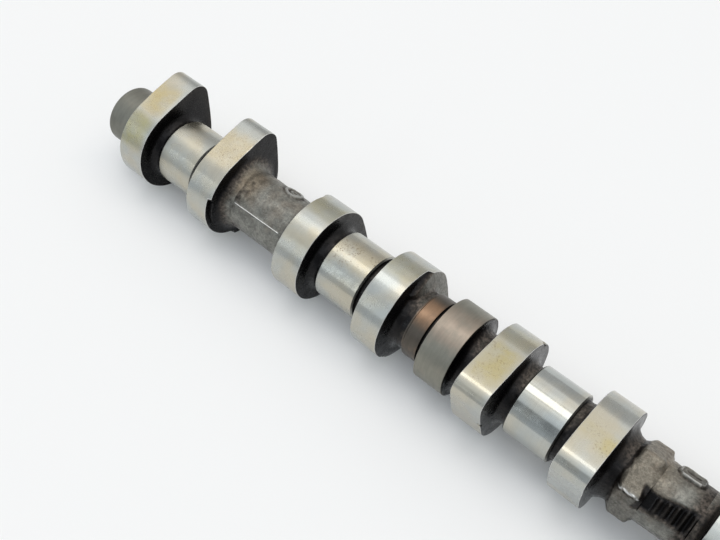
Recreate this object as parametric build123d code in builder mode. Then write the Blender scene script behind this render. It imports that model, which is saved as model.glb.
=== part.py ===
"""Camshaft of a four-cylinder engine with two inlet or exhaust valves per cylinder.

One piece of chilled cast iron: every cylinder has a bearing journal between two
equal lobes, and rough cast shaft joins the cylinders.  The shaft lies along X with
its sprocket end towards +X.  The origin is on its axis at the sprocket's shoulder.
It lies on its lobes with +Z up, and angles go round the axis from +Y towards +Z.
"""
from math import acos, cos, pi, radians, sin, tan
import os

from build123d import *

# ---- driving dimensions, in millimetres and degrees ----
cylinder_pitch = 85.0
lobe_spacing = 39.0            # between the middles of one cylinder's two lobes

journal_d = 27.0
journal_width = 17.8
journal_chamfer = 0.5

base_circle_d = 38.0
lift = 7.8
nose_radius = 6.2
flank_radius = 150.0
lobe_width = 12.5
nose_angle = {1: 225.0, 2: 135.0, 3: 315.0, 4: 45.0}   # by cylinder, firing 1-3-4-2

journal_step = 1.75            # from the cast necks up to the journals
cast_shaft_d = 24.4            # cast shaft between cylinders 4 and 3
slim_shaft_d = 23.0            # cast shaft between cylinders 2 and 1
neck_flare = 2.8               # radius where a short neck runs out into a lobe
shaft_flare = 4.6              # the same where long cast shaft does

mould_angle = 135.0            # the mould's parting plane
mould_step = 1.7               # how far one lobe's face stands back beside the shaft
mould_step_angle = 193.0       # the side it does so on
mark_angle = 54.0              # the side of the mould that carries the raised marks

spigot_d = 24.0
spigot_length = 16.0
spigot_rounding = 1.6
centre_drill_d = 6.0
centre_drill_angle = 60.0

ring_d = 25.5
ring_width = 6.4
disc_d = 32.5
disc_width = 12.6
disc_groove = 1.8              # from the ring to the disc
disc_to_lobe = 6.8

hexagon_across_flats = 25.0
hexagon_width = 6.5
hexagon_rounding = 1.5
hexagon_flare = 2.4
lobe_to_hexagon = 6.2

oval_mark_length = 8.4
oval_mark_width = 5.4
oval_mark_line = 1.1
oval_mark_height = 0.6
plate_mark_length = 9.2
plate_mark_width = 6.4
plate_mark_height = 1.4
plate_bar_width = 1.2
plate_bar_height = 0.6
mark_to_lobe = 12.6            # from the oval mark's middle to the next lobe
hexagon_to_plate = 9.8         # from the hexagon to the plate's middle

panel_angle = 136.0            # sunk panel with cross ribs in the slim shaft
panel_width = 8.6
panel_depth = 1.5
panel_margin = 0.8             # left at both ends of the slim shaft
rib_count = 7
rib_width = 1.1
rib_height = 0.9

collar_d = 36.0
collar_width = 5.0
collar_gap = 5.0               # from the first lobe to the thrust collar
collar_flare = 1.5
relief_depth = 0.6             # below the front journal
relief_width = 1.5
front_journal_width = 20.0
seat_d = 22.0
seat_length = 18.0
seat_chamfer = 1.0
keyway_width = 4.0
keyway_depth = 2.2
keyway_length = 13.0
bolt_hole_d = 8.5              # tapping size of an M10 thread
bolt_hole_depth = 30.0
bolt_countersink_d = 11.0

# ---- sizes that follow ----
neck_d = journal_d - 2 * journal_step
relief_d = journal_d - 2 * relief_depth

# ---- places along the axis ----
collar_start = -(front_journal_width + relief_width + collar_width)
cylinder_1_x = collar_start - collar_gap - lobe_width / 2 - lobe_spacing / 2
cylinder_x = {number: cylinder_1_x - (number - 1) * cylinder_pitch for number in nose_angle}
group_half = lobe_spacing / 2 + lobe_width / 2          # a cylinder's middle to its outer faces

spigot_start = cylinder_x[4] - group_half - spigot_length
disc_end = cylinder_x[2] - group_half - disc_to_lobe
disc_start = disc_end - disc_width
ring_end = disc_start - disc_groove
hexagon_start = cylinder_x[2] + group_half + lobe_to_hexagon
hexagon_end = hexagon_start + hexagon_width


def cylinder_sections(number):
    """Neck, journal and neck of one cylinder, as (diameter, where it ends)."""
    middle = cylinder_x[number]
    return [
        (neck_d, middle - journal_width / 2),
        (journal_d, middle + journal_width / 2),
        (neck_d, middle + group_half),
    ]


# The turned and cast core from the spigot to the sprocket seat.
sections = (
    [(spigot_d, cylinder_x[4] - group_half)]
    + cylinder_sections(4)
    + [(cast_shaft_d, cylinder_x[3] - group_half)]
    + cylinder_sections(3)
    + [(neck_d, ring_end - ring_width), (ring_d, ring_end), (neck_d, disc_start), (disc_d, disc_end)]
    + [(neck_d, cylinder_x[2] - group_half)]
    + cylinder_sections(2)
    + [(neck_d, hexagon_start), (slim_shaft_d, cylinder_x[1] - group_half)]
    + cylinder_sections(1)
    + [(neck_d, collar_start), (collar_d, collar_start + collar_width)]
    + [(relief_d, -front_journal_width), (journal_d, 0.0), (seat_d, seat_length)]
)


def core_outline():
    """Points of the core's half section, from the spigot's end round to the seat's end."""
    points = [(spigot_start, 0.0)]
    for diameter, end in sections:
        start = points[-1][0]
        if points[-1][1] != diameter / 2:
            points.append((start, diameter / 2))
        points.append((end, diameter / 2))
    return points + [(seat_length, 0.0)]


def lobe_outline(angle):
    """Cam profile: base circle and nose joined by two flanks tangent to both."""
    base_radius = base_circle_d / 2
    nose_centre = base_radius + lift - nose_radius
    to_base = flank_radius - base_radius
    to_nose = flank_radius - nose_radius
    turn = acos((to_base**2 + nose_centre**2 - to_nose**2) / (2 * to_base * nose_centre))
    flank_centre = Vector(to_base * cos(turn), -to_base * sin(turn))
    nose = Vector(nose_centre, 0)
    flank_start = flank_centre * (-base_radius / to_base)
    flank_end = nose + (nose - flank_centre) * (nose_radius / to_nose)
    with BuildSketch() as outline:
        with BuildLine():
            flank = RadiusArc(flank_start, flank_end, flank_radius)
            other = mirror(flank, about=Plane.XZ)
            ThreePointArc(flank @ 1, (base_radius + lift, 0), other @ 1)
            ThreePointArc(flank @ 0, (-base_radius, 0), other @ 0)
        make_face()
    return outline.sketch.rotate(Axis.Z, angle)


def flare_outline(face, way, diameter, radius):
    """Section of the concave fillet between a lobe's face and the neck at its foot."""
    foot = diameter / 2
    with BuildSketch(Plane.XZ) as outline:
        with BuildLine():
            Line((face, foot + radius), (face, 0))
            Line((face, 0), (face + way * radius, 0))
            Line((face + way * radius, 0), (face + way * radius, foot))
            ThreePointArc(
                (face + way * radius, foot),
                (face + way * radius * (1 - sin(pi / 4)), foot + radius * (1 - cos(pi / 4))),
                (face, foot + radius),
            )
        make_face()
    return outline.sketch


def side_plane(x, angle, height):
    """Plane at a distance from the axis on one side, its own x along the shaft."""
    across = Vector(0, cos(radians(angle)), sin(radians(angle)))
    return Plane(origin=Vector(x, 0, 0) + across * height, x_dir=(1, 0, 0), z_dir=across)


# Where cast necks and shaft run out into the lobes and discs: (face, way, diameter, radius).
flares = []
for number, middle in cylinder_x.items():
    for side in (-1, 1):
        lobe_middle = middle + side * lobe_spacing / 2
        flares.append((lobe_middle - side * lobe_width / 2, -side, neck_d, neck_flare))
flares += [
    (cylinder_x[4] + group_half, 1, cast_shaft_d, shaft_flare),
    (cylinder_x[3] - group_half, -1, cast_shaft_d, shaft_flare),
    (cylinder_x[3] + group_half, 1, neck_d, neck_flare),
    (disc_end, 1, neck_d, neck_flare),
    (cylinder_x[2] - group_half, -1, neck_d, neck_flare),
    (cylinder_x[2] + group_half, 1, neck_d, shaft_flare),
    (hexagon_end, 1, slim_shaft_d, hexagon_flare),
    (cylinder_x[1] - group_half, -1, slim_shaft_d, neck_flare),
    (cylinder_x[1] + group_half, 1, neck_d, neck_flare),
    (collar_start, -1, neck_d, collar_flare),
]

with BuildPart() as camshaft:
    # Core with its bearing journals, bevelled at both ends.
    with BuildSketch(Plane.XZ):
        with BuildLine():
            Polyline(*core_outline(), close=True)
        make_face()
    revolve(axis=Axis.X)
    rims = camshaft.edges().filter_by(GeomType.CIRCLE)
    journal_rims = rims.filter_by(lambda rim: abs(rim.radius - journal_d / 2) < 0.01)
    chamfer(journal_rims, journal_chamfer)
    fillet(rims.sort_by(Axis.X)[0], spigot_rounding)
    chamfer(camshaft.edges().filter_by(GeomType.CIRCLE).sort_by(Axis.X)[-1], seat_chamfer)

    # Lobes.
    for number, middle in cylinder_x.items():
        for side in (-1, 1):
            start = middle + side * lobe_spacing / 2 - lobe_width / 2
            with BuildSketch(Plane.YZ.offset(start)):
                add(lobe_outline(nose_angle[number]))
            extrude(amount=lobe_width)

    # One lobe's face stands back on the side away from the mould's feeder.
    with BuildSketch(Plane.YZ.offset(cylinder_x[4] + group_half)):
        with Locations(Location((0, 0, 0), (0, 0, mould_step_angle))):
            with Locations((cast_shaft_d / 2, 0)):
                Rectangle(base_circle_d, 2 * base_circle_d, align=(Align.MIN, Align.CENTER))
    extrude(amount=-mould_step, mode=Mode.SUBTRACT)

    # Hexagon for a spanner, one corner in the mould's parting plane.
    with BuildSketch(Plane.YZ.offset(hexagon_start)) as hexagon:
        RegularPolygon(hexagon_across_flats / 2, 6, major_radius=False, rotation=mould_angle)
        fillet(hexagon.vertices(), hexagon_rounding)
    extrude(amount=hexagon_width)

    for face, way, diameter, radius in flares:
        add(revolve(flare_outline(face, way, diameter, radius), axis=Axis.X, mode=Mode.PRIVATE))

    # Raised marks on the cast shaft: an oval ring, and a plate with two bars.
    oval_foot = cast_shaft_d / 2 - oval_mark_height
    oval_x = cylinder_x[3] - group_half - mark_to_lobe
    with BuildSketch(side_plane(oval_x, mark_angle, oval_foot)):
        Ellipse(oval_mark_length / 2, oval_mark_width / 2)
        Ellipse(
            oval_mark_length / 2 - oval_mark_line,
            oval_mark_width / 2 - oval_mark_line,
            mode=Mode.SUBTRACT,
        )
    extrude(amount=2 * oval_mark_height)
    plate_x = hexagon_end + hexagon_to_plate
    plate_foot = slim_shaft_d / 2 - plate_mark_height
    with BuildSketch(side_plane(plate_x, mark_angle, plate_foot)):
        RectangleRounded(plate_mark_length, plate_mark_width, plate_mark_width / 3)
    extrude(amount=2 * plate_mark_height)
    with BuildSketch(side_plane(plate_x, mark_angle, plate_foot + 2 * plate_mark_height)):
        with GridLocations(0, 2 * plate_bar_width, 1, 2):
            SlotOverall(plate_mark_length - plate_mark_width / 3, plate_bar_width)
    extrude(amount=plate_bar_height)

    # Sunk panel with its cross ribs.
    panel_length = cylinder_x[1] - group_half - hexagon_end - 2 * panel_margin
    panel_x = hexagon_end + panel_margin + panel_length / 2
    with BuildSketch(side_plane(panel_x, panel_angle, slim_shaft_d / 2 - panel_depth)):
        RectangleRounded(panel_length, panel_width, panel_width / 4)
    extrude(amount=slim_shaft_d / 2, mode=Mode.SUBTRACT)
    with BuildSketch(side_plane(panel_x, panel_angle, slim_shaft_d / 2 - panel_depth)):
        with GridLocations(panel_length / (rib_count + 1), 0, rib_count, 1):
            Rectangle(rib_width, panel_width)
    extrude(amount=rib_height)

    # Sprocket seat: keyway with a milled round end, and the bolt's tapped hole.
    with BuildSketch(Plane.XY.offset(seat_d / 2 - keyway_depth)):
        with Locations((seat_length, 0)):
            SlotOverall(2 * keyway_length, keyway_width)
    extrude(amount=seat_d, mode=Mode.SUBTRACT)
    with Locations(Plane.YZ.offset(seat_length)):
        CounterSinkHole(bolt_hole_d / 2, bolt_countersink_d / 2, bolt_hole_depth)

    # Centre drilling in the spigot's end.
    with BuildSketch(Plane.XZ):
        with BuildLine():
            drill_depth = centre_drill_d / 2 / tan(radians(centre_drill_angle / 2))
            Polyline(
                (spigot_start, 0),
                (spigot_start, centre_drill_d / 2),
                (spigot_start + drill_depth, 0),
                close=True,
            )
        make_face()
    revolve(axis=Axis.X, mode=Mode.SUBTRACT)

camshaft.part.label = "camshaft"
os.makedirs("parts", exist_ok=True)
export_step(camshaft.part, "parts/camshaft.step")
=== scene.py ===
"""Camshaft: the detailed casting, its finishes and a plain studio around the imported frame."""
import math
from typing import NamedTuple

import bpy
import numpy as np
from bpy.props import FloatProperty, FloatVectorProperty, PointerProperty
from bpy.types import Operator, Panel, PropertyGroup
from mathutils import Matrix, Quaternion, Vector, noise


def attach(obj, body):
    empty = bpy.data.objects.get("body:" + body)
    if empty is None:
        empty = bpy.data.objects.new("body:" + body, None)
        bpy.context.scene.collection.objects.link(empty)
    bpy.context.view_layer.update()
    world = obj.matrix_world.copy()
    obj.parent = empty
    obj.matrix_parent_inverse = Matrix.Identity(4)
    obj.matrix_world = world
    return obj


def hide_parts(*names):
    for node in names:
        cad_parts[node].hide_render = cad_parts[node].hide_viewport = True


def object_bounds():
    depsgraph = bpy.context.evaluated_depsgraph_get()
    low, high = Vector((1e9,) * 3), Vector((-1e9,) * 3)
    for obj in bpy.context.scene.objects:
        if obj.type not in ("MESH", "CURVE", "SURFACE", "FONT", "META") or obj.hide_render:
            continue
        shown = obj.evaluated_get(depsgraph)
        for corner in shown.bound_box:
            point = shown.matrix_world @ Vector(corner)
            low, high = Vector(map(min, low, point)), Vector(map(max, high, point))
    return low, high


bl_info = {
    "name": "Camshaft",
    "version": (1, 0, 0),
    "blender": (4, 5, 0),
    "location": "View3D > Sidebar > Camshaft",
    "description": "Builds a cast iron camshaft with ground lobes and bearing journals",
    "category": "Add Mesh",
}

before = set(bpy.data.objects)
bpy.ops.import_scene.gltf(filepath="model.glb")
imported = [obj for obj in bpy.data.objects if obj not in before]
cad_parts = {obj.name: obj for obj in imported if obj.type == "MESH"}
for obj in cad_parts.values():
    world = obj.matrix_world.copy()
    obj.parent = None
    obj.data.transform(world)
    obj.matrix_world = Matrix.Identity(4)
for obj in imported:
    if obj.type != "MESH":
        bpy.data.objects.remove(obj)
cad_low, cad_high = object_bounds()

# ---- places along the axis, in metres from the sprocket's shoulder ----
CYLINDER_PITCH = 0.085
CYLINDER_1 = -0.05725
LOBE_SPACING = 0.039
LOBE_WIDTH = 0.0125
JOURNAL_WIDTH = 0.0178
NOSE_ANGLE = {1: 225.0, 2: 135.0, 3: 315.0, 4: 45.0}
GROUP_HALF = (LOBE_SPACING + LOBE_WIDTH) / 2
CYLINDER = {n: CYLINDER_1 - (n - 1) * CYLINDER_PITCH for n in NOSE_ANGLE}
SPIGOT_END = -0.354
RING_REAR, RING_FRONT = -0.1956, -0.1892
DISC_REAR, DISC_FRONT = -0.1874, -0.1748
HEXAGON_REAR = CYLINDER[2] + GROUP_HALF + 0.0062
HEXAGON_FRONT = HEXAGON_REAR + 0.0065
COLLAR_REAR, COLLAR_FRONT = -0.0265, -0.0215
FRONT_JOURNAL_REAR = -0.0200
SEAT_END = 0.018
HOLE_BOTTOM = SEAT_END - 0.030
OVAL_PLACE = CYLINDER[3] - GROUP_HALF - 0.0130
PLATE_PLACE = HEXAGON_FRONT + 0.0098

# ---- radii and other sizes across the axis, in metres ----
NECK = 0.01175
CAST_SHAFT = 0.0122
SLIM_SHAFT = 0.0115
NECK_FLARE = 0.0028
SHAFT_FLARE = 0.0046
SPIGOT = 0.012
SPIGOT_ROUND = 0.0016
SPIGOT_ROOT = 0.0122
CENTRE_HOLE, CENTRE_DEPTH = 0.003, 0.0052
RING, RING_RIM = 0.01275, 0.0124
DISC, DISC_RIM = 0.01625, 0.0157
RIM_BEVEL = 0.0003
HEXAGON_FLATS, HEXAGON_ROUNDING = 0.025, 0.0015
BEVEL = 0.0005
COLLAR, COLLAR_BEVEL, COLLAR_FILLET = 0.018, 0.0004, 0.0015
SEAT, SEAT_BEVEL = 0.011, 0.001
KEYWAY_LENGTH, KEYWAY_HALF, KEYWAY_FLOOR = 0.013, 0.002, 0.0088
BOLT_HOLE = 0.00425
THREAD_PITCH, THREAD_DEPTH = 0.0015, 0.0005
CHIP_HEIGHT = 0.0008

# ---- angles in degrees, from +Y towards +Z ----
PARTING_ANGLE = 135.0
FLASH_ANGLE = 136.8
MARK_ANGLE = 54.0
KEYWAY_ANGLE = 90.0

# ---- where tones change along the axis: each pair is the start and the end of the change ----
PALER_NECKS = (-0.222, -0.205)
BROWN_ON_SHAFT = ((-0.2868, -0.2835), (-0.279, -0.272))
BROWN_ON_HEXAGON = ((-0.114, -0.109), (-0.103, -0.092))

# ---- the sunk panel's two edges: shares of its length and the angles there ----
PANEL_UPPER = ((0, 0.05, 0.2, 0.4, 0.6, 0.9, 1), (118.0, 113.0, 115.5, 111.0, 106.0, 99.0, 99.0))
PANEL_LOWER = ((0, 0.13, 0.4, 0.7, 0.9, 1), (157.0, 161.0, 154.0, 153.0, 157.0, 156.0))
RIB_PITCHES = 7.0

# ---- the mesh: points round the axis with their angles, and distances between rings ----
TURNS = 200
ANGLE = np.arange(TURNS) * (360.0 / TURNS)
SHAFT_STEP = 0.00055
SLIM_STEP = 0.00045
NECK_STEP = 0.0015
LOBE_SHARES = (0.0, 0.03, 0.2, 0.4, 0.6, 0.8, 0.97, 1.0)
FACE_SHARES = (0.35, 0.7, 1.0)
RAISED_SHARES = (0.15, 0.3, 0.45, 0.6, 0.75, 0.9, 1.0)
SHARP_ANGLE = 38.0

FINISHES = (
    "ground_lobe",
    "ground_journal",
    "cast_skin",
    "ring_metal",
    "disc_metal",
    "spigot_metal",
    "turned_end",
)
GROUND_LOBE, GROUND_JOURNAL, CAST_SKIN, RING_METAL, DISC_METAL, SPIGOT_METAL, TURNED_END = range(7)

# Marks that the finishes read from each point, all 0 to 1. The dark mark is partly the black skin of faces
# and necks and partly painted shade in necks, grooves, recesses and on lower sides; the rubbed mark is worn
# metal and, in places, a painted highlight.
MARKS = ("stain", "olive", "rub", "dull", "dark", "pits")


def eased(value, low, high):
    """0 below low, 1 above high and a smooth rise between them."""
    t = np.clip((value - low) / (high - low), 0.0, 1.0)
    return t * t * (3 - 2 * t)


def between(value, rise, fall):
    """1 after the rise and before the fall, 0 outside them; each is its start and end."""
    return eased(value, *rise) * (1 - eased(value, *fall))


def peak(off, width):
    """Bell curve with 1 in its middle and about a third one width away."""
    return np.exp(-((off / width) ** 2))


def turn_from(angle, angles=ANGLE):
    """Signed angle from one side of the shaft, -180 to 180 degrees."""
    return (angles - angle + 180.0) % 360.0 - 180.0


def sector(low, high, rise, fall):
    """1 between two angles; the rise counts from the first angle and the fall from the second."""
    return eased(turn_from(low), *rise) * (1 - eased(turn_from(high), *fall))


def one_side(angle, gone, full):
    """1 up to full degrees from one side of the shaft, 0 beyond gone degrees."""
    return eased(-np.abs(turn_from(angle)), -gone, -full)


def lumps(x, size, seed=0.0, octaves=2, angles=ANGLE):
    """Smooth unevenness of one ring of points, about -1 to 1, with bumps of the given size."""
    reach = NECK / size
    turn = np.radians(angles)
    along = np.broadcast_to(x, angles.shape) / size
    places = np.stack((along, reach * np.cos(turn), reach * np.sin(turn)), 1)
    shift = Vector((seed, seed, seed))
    return np.array([noise.fractal(Vector(place) + shift, 1.0, 2.0, octaves) for place in places])


class Patch(NamedTuple):
    """Stain on a lobe, between two angles and two shares of the width from the rear."""

    low: float
    high: float
    rear: float
    front: float
    strength: float
    olive: float


class Step(NamedTuple):
    """Straight step in a lobe's front face: how deep, on which side and how far from the axis."""

    depth: float
    side: float
    distance: float


class Raised(NamedTuple):
    """Raised part of a lobe's front face, whose second edge leans round as it nears the neck."""

    height: float
    low: float
    high: float
    lean: float


class Chip(NamedTuple):
    """Chip in a lobe's front rim."""

    angle: float
    width: float
    depth: float


class Lobe(NamedTuple):
    """What sets one lobe apart; uneven and shift are those of its cast edges along the axis."""

    seed: float
    rear_uneven: float = 0.00014
    front_uneven: float = 0.00014
    rear_shift: object = 0.0
    front_shift: object = 0.0
    rear_foot: float = NECK
    rear_flare: float = NECK_FLARE
    front_foot: float = NECK
    front_flare: float = NECK_FLARE
    stains: tuple = ()
    step: object = None
    raised: object = None
    chips: tuple = ()
    pits: float = 0.35


# The rear and the front lobe of each cylinder.
LOBES = {
    4: (
        Lobe(
            seed=1,
            front_uneven=0.00012,
            rear_foot=SPIGOT_ROOT,
            rear_flare=0.0,
            stains=(Patch(64.0, 101.0, -0.2, 0.85, 1.0, 0.2), Patch(107.0, 150.0, -0.1, 0.85, 0.9, 0.8)),
        ),
        Lobe(
            seed=2,
            rear_uneven=0.00012,
            front_foot=CAST_SHAFT,
            front_flare=SHAFT_FLARE,
            stains=(Patch(62.0, 104.0, -0.2, 1.2, 0.6, 0.0),),
            step=Step(0.0017, 193.0, 0.0122),
            pits=0.65,
        ),
    ),
    3: (
        Lobe(
            seed=3,
            rear_uneven=0.0002,
            front_uneven=0.00016,
            rear_shift=-0.0011 * sector(15.0, 48.5, (-10, 28), (-5.0, 8.0)),
            rear_foot=CAST_SHAFT,
            rear_flare=SHAFT_FLARE,
            stains=(Patch(55.0, 84.0, -0.2, 1.2, 0.45, 0.8), Patch(100.0, 125.0, -0.2, 1.2, 0.3, 0.0)),
        ),
        Lobe(
            seed=4,
            front_uneven=0.00016,
            front_shift=-0.0006,
            stains=(Patch(60.0, 90.0, -0.2, 1.2, 0.45, 0.7),),
            raised=Raised(0.0017, -40.0, 56.0, 42.0),
            chips=(Chip(212.0, 2.0, 0.0007), Chip(218.0, 2.5, 0.0009)),
        ),
    ),
    2: (
        Lobe(
            seed=6,
            stains=(Patch(82.0, 124.0, 0.05, 0.95, 1.0, 0.45), Patch(50.0, 80.0, 0.0, 1.0, 0.35, 0.7)),
            chips=(Chip(36.0, 4.5, 0.0011), Chip(169.0, 2.2, 0.0011)),
            pits=0.5,
        ),
        Lobe(
            seed=7,
            front_uneven=0.00012,
            front_flare=SHAFT_FLARE,
            stains=(
                Patch(96.0, 113.0, -0.2, 1.2, 0.6, 0.3),
                Patch(97.0, 116.0, 0.55, 1.1, 1.0, 0.4),
                Patch(84.0, 124.0, -0.2, 1.2, 0.2, 0.3),
            ),
            pits=0.6,
        ),
    ),
    1: (
        Lobe(
            seed=8,
            rear_shift=0.0008,
            rear_foot=SLIM_SHAFT,
            stains=(Patch(250.0, 285.0, 0.0, 1.1, 0.5, 0.3),),
        ),
        Lobe(seed=9, stains=(Patch(160.0, 200.0, -0.1, 0.8, 0.5, 0.6),)),
    ),
}

# Marks on each cylinder's bearing journal.
WORN = sector(88.0, 108.0, (-30, -5), (0, 14))
JOURNAL_MARKS = {
    4: {"dull": 0.35, "stain": 0.2},
    3: {"dull": 0.35, "stain": 0.12 + 0.33 * WORN, "pits": WORN},
    2: {},
    1: {"dull": 0.2},
}


def lobe_radius(sizes, nose):
    """Cam profile by angle: base circle and nose joined by flanks tangent to both."""
    centre = sizes.base_radius + sizes.lift - sizes.nose_radius
    to_base = sizes.flank_radius - sizes.base_radius
    to_nose = sizes.flank_radius - sizes.nose_radius
    turn = math.acos((to_base**2 + centre**2 - to_nose**2) / (2 * to_base * centre))
    flank_centre = np.array((to_base * math.cos(turn), -to_base * math.sin(turn)))
    nose_centre = np.array((centre, 0.0))
    nose_end = nose_centre + (nose_centre - flank_centre) * sizes.nose_radius / to_nose
    off = np.abs(turn_from(nose))
    ray = np.stack((np.cos(np.radians(off)), np.sin(np.radians(off))), 1)
    along = ray @ flank_centre
    flank = along + np.sqrt(along**2 - flank_centre @ flank_centre + sizes.flank_radius**2)
    along = ray @ nose_centre
    tip = along + np.sqrt(np.maximum(along**2 - centre**2 + sizes.nose_radius**2, 0))
    nose_turn = math.degrees(math.atan2(nose_end[1], nose_end[0]))
    flank_turn = 180 - math.degrees(turn)
    return np.where(off < nose_turn, tip, np.where(off < flank_turn, flank, sizes.base_radius))


class Skin:
    """Rings of points round the X axis that are joined into one closed mesh."""

    def __init__(self):
        self.rings = []

    def ring(self, x, radius, finish, angles=ANGLE, **marks):
        """Adds a ring. The finish is that of the faces between it and the ring before."""
        row = [x, radius, angles, finish] + [marks.get(key, 0.0) for key in MARKS]
        self.rings.append([np.broadcast_to(np.asarray(value, float), (TURNS,)) for value in row])

    def mesh(self, name, start_pole, end_pole):
        """The closed mesh, with one pole point on the axis at each end."""
        rows = np.array(self.rings)
        x, radius, angle, finish = (rows[:, i] for i in range(4))
        turn = np.radians(angle)
        points = np.stack((x, radius * np.cos(turn), radius * np.sin(turn)), -1).reshape(-1, 3)
        points = np.concatenate((points, [(start_pole, 0, 0), (end_pole, 0, 0)]))
        here = np.arange(TURNS)
        after = (here + 1) % TURNS
        faces = []
        slots = []
        for i in range(len(rows) - 1):
            a, b = i * TURNS, (i + 1) * TURNS
            faces += np.stack((a + here, a + after, b + after, b + here), 1).tolist()
            slots.append(finish[i + 1])
        pole = len(rows) * TURNS
        last = pole - TURNS
        faces += [(pole, (j + 1) % TURNS, j) for j in range(TURNS)]
        faces += [(pole + 1, last + j, last + (j + 1) % TURNS) for j in range(TURNS)]
        slots += [finish[0], finish[-1]]
        mesh = bpy.data.meshes.new(name)
        mesh.from_pydata(points.tolist(), [], faces)
        mesh.update()
        mesh.polygons.foreach_set("material_index", np.concatenate(slots).astype(np.int32))
        for i, key in enumerate(MARKS):
            layer = mesh.attributes.new(key, "FLOAT", "POINT")
            layer.data.foreach_set("value", np.append(rows[:, 4 + i].ravel(), (0, 0)).astype(np.float32))
        mesh.polygons.foreach_set("use_smooth", [True] * len(mesh.polygons))
        mesh.set_sharp_from_angle(angle=math.radians(SHARP_ANGLE))
        if len(mesh.vertices) - len(mesh.edges) + len(mesh.polygons) != 2:
            raise RuntimeError("the skin isn't closed")
        return mesh


# ---- cast skin: its unevenness and its tones ----
def cast_radius(sizes, x, radius, angles=ANGLE, seed=0.0):
    """Radius of rough cast skin at one place along the axis."""
    skin = lumps(x, 0.0042, seed, 2, angles) + 0.7 * lumps(x, 0.0013, seed + 9, 2, angles)
    return radius + sizes.skin_height * skin


def neck_pale(x):
    """How far the necks are browner than black and how strong their painted highlight on top is: little near
    the rear end, more past the middle.
    """
    return 0.3 + 0.7 * eased(x, *PALER_NECKS)


def neck_dark(x, seed):
    """How black a short neck is: nearly all, partly its dark skin and partly painted shade between lobes and
    journals, with browner places and a paler painted highlight towards the top.
    """
    paler = 0.08 + 0.36 * one_side(72.0, 55, 15) - 0.2 * lumps(x, 0.004, seed)
    return np.clip(1 - neck_pale(x) * paler, 0, 1)


def brown_patch(x):
    """Brown tone on top of the cast shaft's rear end and over the hexagon."""
    on_shaft = between(x, *BROWN_ON_SHAFT) * one_side(88.0, 55, 15)
    on_hexagon = between(x, *BROWN_ON_HEXAGON) * (1 - eased(turn_from(128.0), 0, 12))
    return 0.8 * on_shaft + 0.55 * on_hexagon


def flare_dark(foot, share, face):
    """Black at the lobe's face, partly its dark skin and partly painted shade in the corner, with a paler
    painted highlight towards the upper side and hair lines that run down into a cast shaft's grey.
    """
    if foot == NECK:
        return 1 - (0.08 + 0.28 * one_side(60.0, 60, 20)) * share * neck_pale(face)
    hair = lumps(face, 0.0011, face * 50) + 0.8 * lumps(face, 0.006, face * 20)
    depth, reach = (1.0, 1.0) if foot == CAST_SHAFT else (0.85, 0.45)
    return depth * (1 - eased(reach * share + 0.13 * hair + 0.35 * one_side(40.0, 70, 20), 0.15, 1.2))


# ---- lobes ----
def raised_part(raised, share):
    """Height of the face's raised part at a share of the way from the flare to the rim."""
    if raised is None:
        return np.zeros(TURNS)
    inward = 1 - share
    high = raised.high + raised.lean * inward
    return raised.height * sector(raised.low, high, (-8, 8), (-3 - 9 * inward, 2))


def raised_tone(raised, share):
    """How grey the raised part is: full well inside it, fading round its edge to black; the black next to
    its second, leaning edge is painted shadow below the step.
    """
    inward = 1 - share
    high = raised.high + raised.lean * inward
    return sector(raised.low, high, (-20, 4), (-22 * inward - 4, 1))


def step_edge(step, radius):
    """Distance of a step's straight edge from the axis by angle, and where the radius is beyond it."""
    facing = np.cos(np.radians(turn_from(step.side)))
    distance = np.where(facing > 0.2, step.distance / np.maximum(facing, 0.2), 1.0)
    return distance, distance < radius - 0.0002


def face_rows(face, inner, edge, offset, raised):
    """Rings of a side face from the flare to the rim: place, radius and darkness."""
    rows = []
    for share in FACE_SHARES if raised is None else RAISED_SHARES:
        if raised is None:
            # Painted sheen: the face is a little lighter towards its upper side near the rim.
            dark = 1 - 0.12 * share * one_side(25.0, 75, 35)
        else:
            dark = 1 - 0.84 * raised_tone(raised, share)
        place = face + offset * share**2 + raised_part(raised, share)
        rows.append((place, inner + (edge - inner) * share, dark))
    return rows


def stepped_rows(face, inner, edge, offset, step):
    """The same rings for a face that lies deeper beyond a straight step."""
    distance, beyond = step_edge(step, edge)
    at = np.clip(distance, inner + 0.0003, edge - 0.0003)
    at = np.where(beyond, at, inner + 0.45 * (edge - inner))
    low = face - np.where(beyond, step.depth, 0.0)
    return [
        (face, inner + 0.5 * (at - inner), 1.0),
        (face, at, 1.0),
        (low, at + 0.00012, 1.0),
        (low + offset * 0.4, at + 0.5 * (edge - at), 1.0),
        (low + offset, edge, 1.0),
    ]


def add_face(skin, sizes, face, way, inner, rim, offset, step=None, raised=None):
    """Lobe's cast side face; way is -1 at its rear and 1 at its front, and offset is the rim's own."""
    edge = rim - sizes.rim_wear
    if step is None:
        rows = face_rows(face, inner, edge, offset, raised)
    else:
        rows = stepped_rows(face, inner, edge, offset, step)
    for x, radius, dark in rows if way < 0 else rows[::-1]:
        skin.ring(x + 0.00006 * lumps(face, 0.003, 5.0), radius, CAST_SKIN, dark=dark)


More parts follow.
